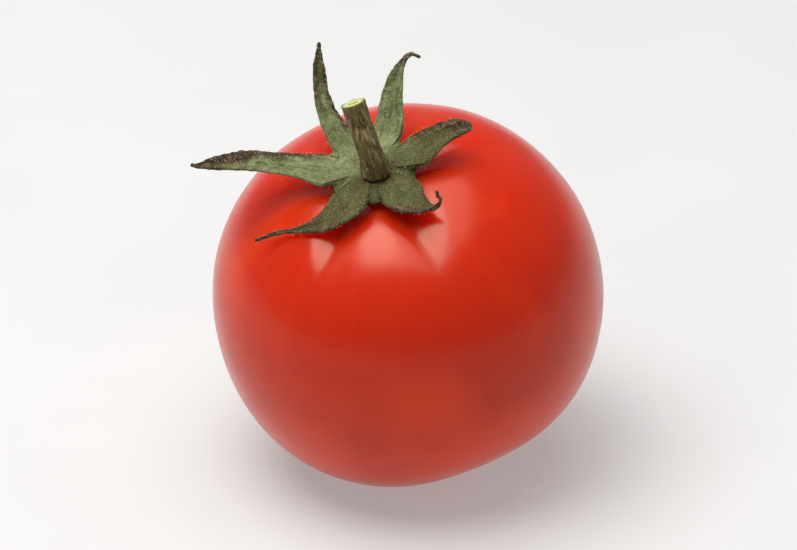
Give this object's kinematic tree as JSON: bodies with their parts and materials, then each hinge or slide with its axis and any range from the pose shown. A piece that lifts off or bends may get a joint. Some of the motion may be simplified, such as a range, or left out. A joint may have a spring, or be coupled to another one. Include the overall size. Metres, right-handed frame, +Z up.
{
  "type": "cherry tomato",
  "caption": "Round ripe fruit with a shallow stem dimple, a star of leafy sepals in it and a short cut stalk, lying a little on its side.",
  "frame": {"origin": "on the surface the fruit rests on, straight below the middle of the fruit", "axes": "+Z up from the resting surface; the fruit leans about 19 degrees towards -Y and -X, so its stem end shows from the front, which is -Y; +X is to the right seen from the front"},
  "size_m": [0.0342, 0.0324, 0.037],
  "materials": {
    "skin": "smooth waxy skin, glossy",
    "calyx": "dull leafy green, finely hairy",
    "stalk": "dull ribbed brown-green"
  },
  "bodies": {
    "root": {"fruit": "skin", "calyx_base": "calyx", "sepal_left": "calyx", "sepal_back_left": "calyx", "sepal_back_right": "calyx", "sepal_right": "calyx", "sepal_front_right": "calyx", "sepal_front_left": "calyx", "stalk": "stalk"}
  },
  "joints": []
}
